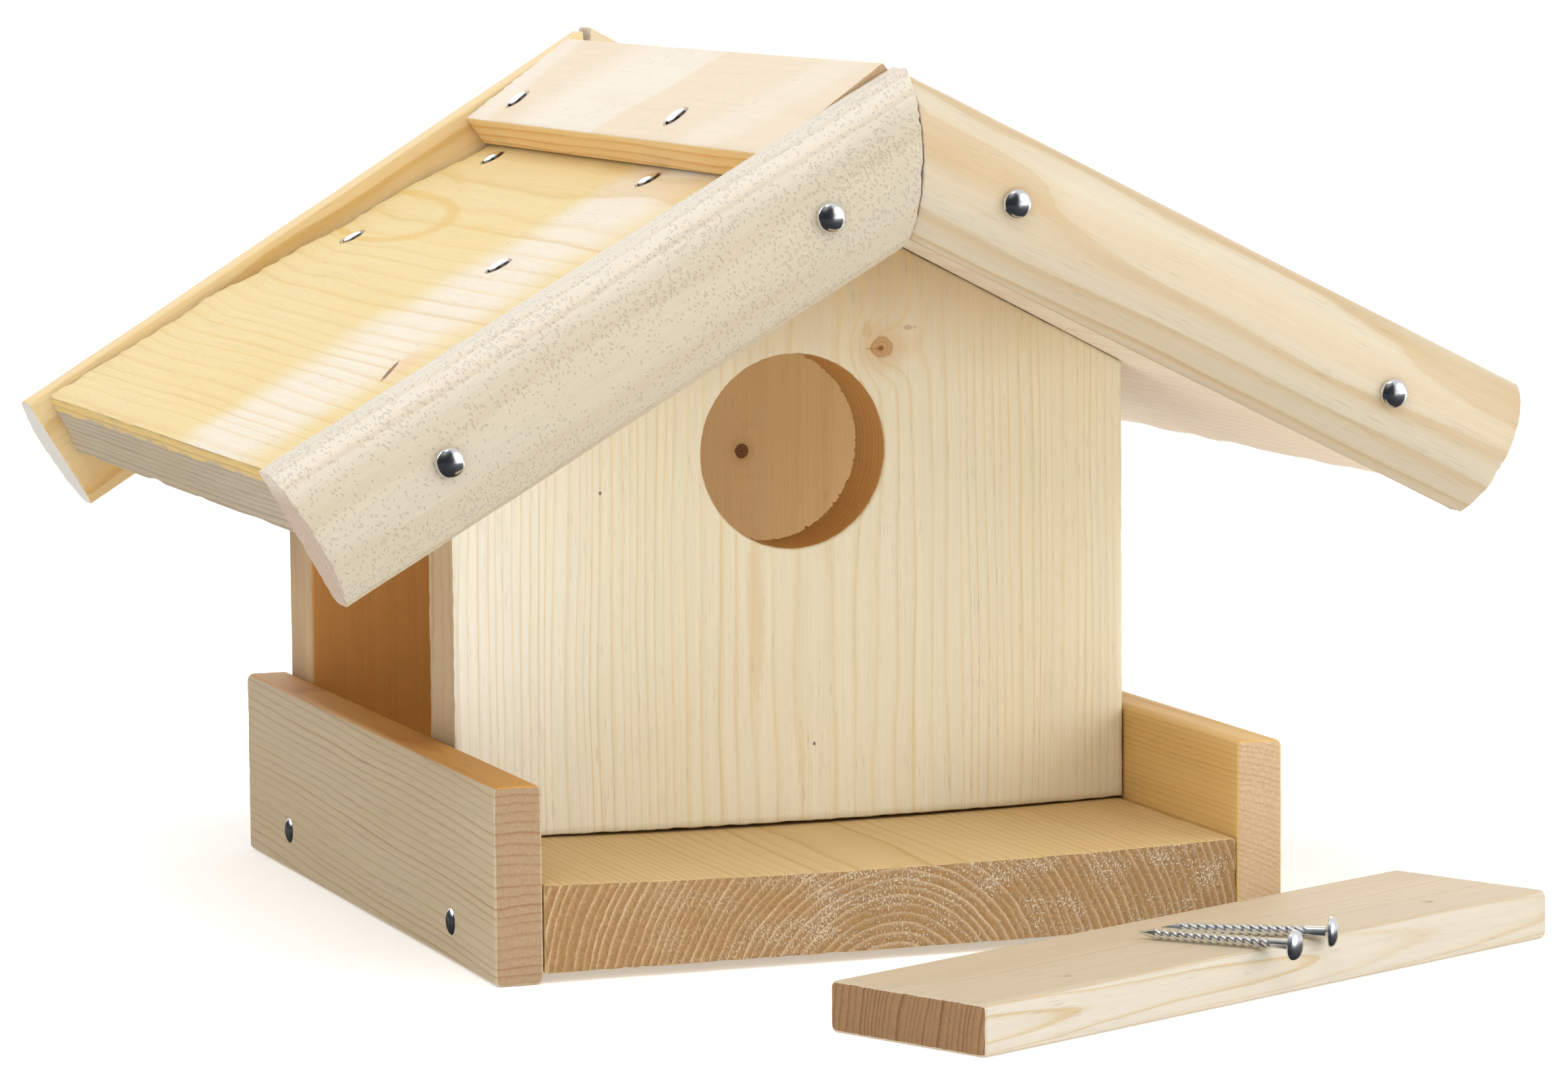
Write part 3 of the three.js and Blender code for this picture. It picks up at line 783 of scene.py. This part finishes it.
# How rough the bore is and how far fibres hang into it near its front; how soft and worn the edges are.
BORE_ROUGH, BORE_TEARS, TEAR_REACH = 0.10, 0.9, 3
WALL_ROUND, WALL_WEAR = 0.5, 0.35


def wall_reach(size, centre):
    """How far a gable wall goes from the hole's centre in a direction."""
    tangent = math.tan(math.radians(WALL_PITCH))
    # Each edge of the wall: its outward direction, and how far along it the edge lies.
    edges = [
        (Vector((-1, 0)), 0), (Vector((0, -1)), 0), (Vector((0, 1)), size.y),
        (Vector((1, tangent)), size.x + tangent * size.y / 2 + WALL_RISE),
        (Vector((1, -tangent)), size.x - tangent * size.y / 2 + WALL_RISE),
    ]

    def reach(angle):
        ray = Vector((math.cos(angle), math.sin(angle)))
        rates = [(out @ ray, far - out @ centre) for out, far in edges]
        return min(room / rate for rate, room in rates if rate > 1e-6)
    return reach


def wall_section(thick):
    """A loop round one section, as shares of the way out from the hole and places through the wall."""
    even = [((i + 1) / STEPS_OUT) ** 1.15 for i in range(STEPS_OUT - 1)]
    out = [0, 0.004, 0.010, *even, 0.994, 1]
    through = [thick * i / STEPS_THROUGH for i in range(1, STEPS_THROUGH)]
    back = [(s, thick) for s in reversed(out)] + [(0, z) for z in reversed(through)]
    return [(s, 0) for s in out] + [(1, z) for z in through] + back


def wall_place(size, centre):
    """Where a point of the front wall lies, from its angle, its share of the way out and its depth."""
    reach = wall_reach(size, centre)

    def place(angle, s, z):
        ring = Vector((math.cos(angle), math.sin(angle), 0))
        start = HOLE_RADIUS + BORE_ROUGH * rough(ring * 30 + Vector((0, 0, z)), (1.6, 1.6, 3), 5)
        if z > size.z - TEAR_REACH:
            start -= BORE_TEARS * max(0, rough((angle * 30, 0, 0), (0.8, 1, 1), 8) - 0.1)
        far = reach(angle)
        run = start + (far - start) * s
        p = Vector((centre.x, centre.y, z)) + ring * run
        gap = min(run - start, far - run)
        if z in (0, size.z) and gap < WALL_ROUND:
            level = WALL_ROUND - max(gap, 0)
            sink = WALL_ROUND - math.sqrt(max(0, WALL_ROUND * WALL_ROUND - level ** 2))
            p.z += sink if z == 0 else -sink
        if s == 1:
            p -= ring * WALL_WEAR * max(0, rough(p, (1.2, 1.2, 2), 7) + 0.1)
        across = 2 * p.y / size.y - 1
        p.x -= FOOT_SAG * (1 - across * across) * max(0, 1 - p.x / FOOT_REACH)
        return p
    return place


def make_front_wall():
    """The front wall is a ring of sections round its hole, each from the hole to the wall's edge."""
    node = "front_wall"
    to_row, size = board_frame(node, UP, RIGHT)
    look = LOOKS[node]
    centre = (to_row.inverted() @ Vector((0, 0, HOLE_HEIGHT * MM))).xy / MM
    eaves = gable(size)(0)
    corners = [(0, 0), (0, size.y), (eaves, 0), (eaves, size.y), (size.x, size.y / 2)]
    turns = [math.atan2(y - centre.y, x - centre.x) for x, y in corners]
    angles = sorted(turns + [math.tau * i / SECTIONS - math.pi for i in range(SECTIONS)])
    loop = wall_section(size.z)
    place = wall_place(size, centre)
    points = [place(angle, s, z) for angle in angles for s, z in loop]
    n, m = len(angles), len(loop)
    faces, slots = [], []
    for i in range(n):
        for j in range(m):
            k = (j + 1) % m
            a, b = i * m, (i + 1) % n * m
            faces.append([a + j, a + k, b + k, b + j])
            slots.append(wall_slot(loop[j][0], loop[k][0], angles[i], turns))
    materials = [
        wood("front_wall_face", look), wood("front_wall_end", look, end=True),
        wood("front_wall_bore", {**look, **look["bore"]}),
        wood("front_wall_edge", {**look, **look["edges"]["low"]}),
    ]
    stand_for(mesh_object(f"{node}_board", points, faces, slots, to_row, materials), node, "house")


def wall_slot(s, next_s, angle, turns):
    """The material of a patch: 0 for the faces, 1 end grain, 2 the hole's bore and 3 the side edges."""
    if s != next_s:
        return 0
    if s == 0:
        return 2
    foot_low, foot_high, eaves_low, eaves_high, _ = turns
    on_side = foot_low <= angle < eaves_low or eaves_high <= angle < foot_high
    return 3 if on_side else 1


def make_roof():
    for side, sign in (("left", -1), ("right", 1)):
        strip_pitch = RIDGE_LEFT_PITCH if side == "left" else WALL_PITCH
        for kind, pitch in (("roof_board", WALL_PITCH), ("ridge_strip", strip_pitch)):
            node = f"{kind}_{side}"
            to_row, size = board_frame(node, REAR, slope(sign, pitch) * -sign)
            # Each roof nail driven into this board gets a painted shadow ring round its head.
            look = {**LOOKS[node], "marks": [*LOOKS[node]["marks"], *nail_gap_shadows(to_row, size)]}
            wide = kind == "roof_board"
            board(node, "house", to_row, size, look, torn(size, node) if wide else None,
                  radii=(0.4, 0.9, 0.9), chips=0.7 if wide else 0.3,
                  steps=(2.0, 1.7, 1.4) if wide else (2.0, 1.1, 1.0))


# How far the left roof board's rear end stands up, at places down the slope. It has dried unevenly.
CROWN = ((0, -0.2), (22, -0.2), (38, 0.9), (61, 0.6), (65, 1.1), (80, 1.0), (94, 1.7), (97, 1.0),
         (112, 0.5), (133, -0.1), (160, -0.4))
# Where along the board it begins to stand up, and over how long it does.
CROWN_START, CROWN_RUN = 179, 17
# How far from its end a roof board was torn, and the most that it lost.
TORN_REACH, TORN_DEPTH = 24, 2.4


def crown_at(y):
    for (low, start), (high, end) in zip(CROWN, CROWN[1:]):
        if low <= y <= high:
            return start + (end - start) * (y - low) / (high - low)
    return 0.0


def torn(size, node):
    """Roof boards were sawn roughly: the rear end wanders and its arris is torn."""
    seed = LOOKS[node]["seed"]
    warped = node.endswith("left")

    def shape(p):
        near = max(0.0, 1 - (size.x - p.x) / TORN_REACH)
        wave = 0.9 + 1.0 * rough((0, p.y, 0), (1, 22, 1), seed)
        wave += 0.8 * rough((0, p.y, p.z), (1, 2.2, 3), seed)
        x = p.x - near * near * max(0, min(TORN_DEPTH, wave))
        at_end = min(1.0, max(0.0, (p.x - CROWN_START) / CROWN_RUN))
        rise = crown_at(p.y) * at_end if warped else 0
        return Vector((x, p.y, p.z + rise * p.z / size.z))
    return shape


def make_bargeboards():
    for node, pitch in BARGE_PITCH.items():
        sign = -1 if node.endswith("left") else 1
        out = -REAR if "front" in node else REAR
        down = slope(sign, pitch)
        across = out.cross(down)
        to_row, size = board_frame(node, down, across)
        low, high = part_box(node)
        mitre = high.x if sign < 0 else low.x
        board(node, "house", to_row, size, LOOKS[node],
              half_round(node, size, to_row, mitre, across), radii=(0.35, 0.7, 0.7), chips=0.45,
              steps=(2.0, 0.9, 1.6))


def half_round(node, size, to_row, mitre, across):
    """Bends a block into a half-round strip, mitred at the ridge."""
    rise = size.z - BARGE_EDGE
    radius = (size.y ** 2 / 4 + rise ** 2) / (2 * rise)
    corner = to_row.translation / MM
    down = to_row.to_3x3().col[0]
    seed = LOOKS[node]["seed"]

    def shape(p):
        crown = size.z - radius + math.sqrt(max(0, radius ** 2 - (p.y - size.y / 2) ** 2))
        from_lower = size.y - p.y if across.z < 0 else p.y
        back = 0
        if from_lower < BARGE_ROUND:
            gap = BARGE_ROUND - from_lower
            back = BARGE_ROUND - math.sqrt(max(0, BARGE_ROUND ** 2 - gap ** 2))
        z = back + (crown - back) * p.z / size.z
        start = (mitre / MM - corner.x - p.y * across.x) / down.x
        start += MITRE_WEAR * max(0, rough((0, p.y, z), (1, 1.3, 1.3), seed)) - MITRE_CLOSE
        return Vector((start + (size.x - start) * p.x / size.x, p.y, z))
    return shape


# ---- the nails ----

NAIL_LENGTH, NAIL_HEAD, NAIL_SHANK = 35.0, 3.0, 1.0
# How tall the head is, how much of that is its upright rim, and how long the point is.
NAIL_DOME, NAIL_RIM, NAIL_POINT = 1.9, 0.35, 3.6
# The slow screw on the loose nails: how many starts, how deep, how fast it turns and where it begins.
SCREW_STARTS, SCREW_DEPTH, SCREW_TURN, SCREW_TOP = 4, 0.14, 0.9, -4.5
# Painted shade at the edge of a driven nail's head, where it meets the wood.
HEAD_EDGE_SHADE = (0.09, 0.075, 0.06)


def zinc(name, dark, light, roughness, rim=None):
    """Zinc plate on steel: cloudy, finely scratched along the nail, and darkened outside the rim radius
    as painted shade where a driven head meets the wood.
    """
    g = Graph(name)
    point = g.place()
    cloud = g.noise(point, (1.4, 1.4, 1.4), 3, detail=3.0)
    scratch = g.noise(point, (0.5, 0.5, 4.0), 4)
    colour = g.mix(cloud, dark, light)
    if rim:
        flat = g.vector("MULTIPLY", point, (1, 1, 0))
        out = g.node("ShaderNodeVectorMath", {0: flat}, operation="LENGTH").outputs["Value"]
        colour = g.mix(g.step(out, rim, rim + 0.3), colour, HEAD_EDGE_SHADE)
    return g.coat(Base_Color=colour, Metallic=1.0, Roughness=g.add_part(cloud, 0.16, roughness),
                    Normal=g.bump(g.add_part(scratch, 0.5, cloud), 0.5, 0.03))


def nail_rings(twisted):
    """A nail's outline from its crown to its tip, as rings of (radius, height)."""
    tip = NAIL_DOME - NAIL_LENGTH
    rings = [(0, NAIL_DOME)]
    arcs = 8
    for i in range(1, arcs + 1):
        turn = math.radians(90 * i / arcs)
        height = NAIL_RIM + (NAIL_DOME - NAIL_RIM) * math.cos(turn)
        rings.append((NAIL_HEAD * math.sin(turn) ** 0.92, height))
    rings += [(NAIL_HEAD, 0.22), (NAIL_HEAD * 0.97, 0.06), (NAIL_HEAD * 0.9, 0), (NAIL_SHANK * 1.3, 0)]
    neck, shank_end = -0.5, tip + NAIL_POINT
    steps = 110 if twisted else 3
    rings += [(NAIL_SHANK, neck + (shank_end - neck) * i / steps) for i in range(steps + 1)]
    return rings + [(NAIL_SHANK * 0.62, tip + 1.8), (NAIL_SHANK * 0.18, tip + 0.2), (0, tip)]


def nail_mesh(name, material, twisted=False):
    """A domed nail along z: the head's underside at 0, the tip below. The shank is a slow screw."""
    rings = nail_rings(twisted)
    shank_end = NAIL_DOME - NAIL_LENGTH + NAIL_POINT
    around = 32
    points, faces = [], []
    for radius, z in rings:
        for k in range(around):
            angle = math.tau * k / around
            r = radius
            if twisted and SCREW_TOP > z > shank_end:
                r *= 1 + SCREW_DEPTH * math.cos(SCREW_STARTS * (angle - z * SCREW_TURN))
            points.append((r * math.cos(angle), r * math.sin(angle), z))
    for i in range(len(rings) - 1):
        for k in range(around):
            a, b, n = i * around + k, i * around + (k + 1) % around, around
            faces.append([a, a + n, b + n, b])
    mesh = bpy.data.meshes.new(name)
    mesh.from_pydata([Vector(p) * MM for p in points], [], faces)
    weld(mesh)
    mesh.materials.append(material)
    mesh.polygons.foreach_set("use_smooth", [True] * len(mesh.polygons))
    return mesh


def weld(mesh):
    """Joins the points that a pole's ring repeats."""
    work = bmesh.new()
    work.from_mesh(mesh)
    bmesh.ops.remove_doubles(work, verts=work.verts, dist=1e-7)
    bmesh.ops.recalc_face_normals(work, faces=work.faces)
    work.to_mesh(mesh)
    work.free()


def nail_place(node):
    """A nail's frame, from its CAD node: the two points farthest apart are its tip and its crown."""
    points = [v.co.copy() for v in frame["nodes"][node].data.vertices]
    pairs = ((a, b) for i, a in enumerate(points) for b in points[:i])
    ends = max(pairs, key=lambda pair: (pair[0] - pair[1]).length_squared)
    beside = [sum(1 for p in points if (p - end).length < 4 * MM) for end in ends]
    tip, crown = ends if beside[0] < beside[1] else ends[::-1]
    up = (crown - tip).normalized()
    origin = crown - up * NAIL_DOME * MM
    return Matrix.Translation(origin) @ up.to_track_quat("Z", "Y").to_matrix().to_4x4()


def nail_gap_shadows(to_row, size):
    """Painted shadow: a dark ring round each nail that is driven into a board's upper face, where the gap
    round its head lies in shade.
    """
    to_local = to_row.inverted()
    gap_shadows = []
    for node in slot_of:
        if not node.startswith("roof_nail"):
            continue
        crown = to_local @ (nail_place(node) @ Vector((0, 0, NAIL_DOME * MM))) / MM
        if 0 < crown.x < size.x and 0 < crown.y < size.y and abs(crown.z - size.z) < 1.5:
            gap_shadows.append(spot((crown.x, crown.y), (2.95, 2.95), colour=(0.26, 0.18, 0.10), stroke=0.14,
                             amount=0.7, ragged=0.15))
    return gap_shadows


def make_nails():
    bright = ((0.78, 0.81, 0.84), (0.92, 0.93, 0.94))
    satin = ((0.80, 0.86, 0.91), (0.93, 0.96, 0.98))
    plain = nail_mesh("nail_plain", zinc("bright_zinc", *bright, 0.12))
    # Driven roof nails get painted shade at the edge of their heads.
    sunk = nail_mesh("nail_sunk", zinc("driven_zinc", *bright, 0.12, rim=2.05))
    loose = nail_mesh("nail_twisted", zinc("satin_zinc", *satin, 0.22), twisted=True)
    for body, nodes in frame["record"]["behaviour"]["bodies"].items():
        for node in nodes:
            if "nail" not in node:
                continue
            mesh = plain
            if "loose" in node:
                mesh = loose
            elif node.startswith("roof"):
                mesh = sunk
            stand_for(add_object(f"{node}_steel", mesh, nail_place(node)), node, body)


# ---- the stage, the light and the camera ----

WHITE = (1, 1, 1)


def make_stage():
    """A plain pale floor, far wider than any view."""
    radius, sides = 60.0, 96
    turns = [math.tau * i / sides for i in range(sides)]
    mesh = bpy.data.meshes.new("stage_floor")
    mesh.from_pydata([(radius * math.cos(t), radius * math.sin(t), 0) for t in turns], [],
                     [list(range(sides))])
    mesh.materials.append(Graph("pale_floor").coat(
        Base_Color=(0.86, 0.86, 0.86), Emission_Color=WHITE, Emission_Strength=0.32, Roughness=0.9,
        Specular_IOR_Level=0.0))
    add_object("stage_floor", mesh, Matrix.Translation((0, 0, cad_low.z)))


def make_light():
    """A white room with a broad key from the right front and a soft one from above."""
    world = bpy.data.worlds.new("white_room")
    bpy.context.scene.world = world
    world.use_nodes = True
    background = world.node_tree.nodes["Background"]
    background.inputs["Color"].default_value = (*WHITE, 1)
    background.inputs["Strength"].default_value = 0.73
    make_sun("key", towards=(0.74, -0.60, 0.30), strength=1.15, spread=45)
    make_sun("top", towards=(-0.28, -0.40, 0.87), strength=1.2, spread=40)
    make_cards()
    bpy.context.scene.view_settings.view_transform = "Standard"


def make_sun(name, towards, strength, spread):
    """A broad sun that shines from towards, spread degrees wide."""
    light = bpy.data.lights.new(name, "SUN")
    light.energy = strength
    light.angle = math.radians(spread)
    lamp = add_object(name, light)
    lamp.rotation_mode = "QUATERNION"
    lamp.rotation_quaternion = Vector(towards).to_track_quat("Z", "Y")


def make_cards():
    """Cards round the house that only the nails mirror, painted reflections of a studio: black to the
    left, glowing white behind.

    Azimuths are in degrees from +x towards +y, and the others are radii and heights in m.
    """
    ground, out, top = cad_low.z + 1 * MM, 1.45, 1.9
    black, white = (0.01, 0.012, 0.016), (0.9, 0.9, 0.9)
    make_card("black_card_ground", black, 0, (100, 335), ((0.05, ground), (out, ground)))
    make_card("black_card_low", black, 0, (100, 165), ((out, ground), (out, 0.62)))
    make_card("black_card_side", black, 0, (165, 288), ((out, ground), (out, 2.2), (1.0, 3.0)))
    make_card("white_card_back", white, 1.2, (50, 100), ((1.44, 0.05), (1.44, top)))
    make_card("white_card_left", white, 1.2, (100, 172), ((1.44, 0.62), (1.44, top)))


def make_card(name, colour, glow, turn, profile):
    """A profile of (radius, height) in m, swept round the house between two azimuths."""
    steps, rows = 24, len(profile)
    angles = [math.radians(turn[0] + (turn[1] - turn[0]) * i / steps) for i in range(steps + 1)]
    points = [(r * math.cos(a), r * math.sin(a), z) for a in angles for r, z in profile]
    faces = [(i * rows + k, i * rows + k + 1, (i + 1) * rows + k + 1, (i + 1) * rows + k)
             for i in range(steps) for k in range(rows - 1)]
    mesh = bpy.data.meshes.new(name)
    mesh.from_pydata(points, [], faces)
    mesh.materials.append(Graph(name).coat(
        Base_Color=colour, Roughness=0.9, Emission_Color=WHITE, Emission_Strength=float(glow)))
    card = add_object(name, mesh)
    card.visible_camera = card.visible_diffuse = card.visible_shadow = False


def make_camera():
    """A long lens, low in front of the house and to its left, tilted slightly down."""
    camera = bpy.data.cameras.new("camera")
    camera.sensor_width = 36
    camera.lens = 140.06
    camera.clip_start, camera.clip_end = 0.05, 200
    yaw, pitch, roll = math.radians(19.965), math.radians(6.270), -0.00865
    place = (-0.4359, -1.2276, 0.2178)
    ahead = Vector((math.sin(yaw) * math.cos(pitch), math.cos(yaw) * math.cos(pitch), -math.sin(pitch)))
    level = Vector((math.cos(yaw), -math.sin(yaw), 0))
    upright = level.cross(ahead)
    x = level * math.cos(roll) + upright * math.sin(roll)
    y = -level * math.sin(roll) + upright * math.cos(roll)
    turn = Matrix((x, y, -ahead)).transposed()
    bpy.context.scene.camera = add_object("camera", camera, Matrix.Translation(place) @ turn.to_4x4())


make_floor()
make_side_rails()
make_front_rail()
make_rear_wall()
make_front_wall()
make_roof()
make_bargeboards()
make_nails()
make_stage()
make_light()
make_camera()
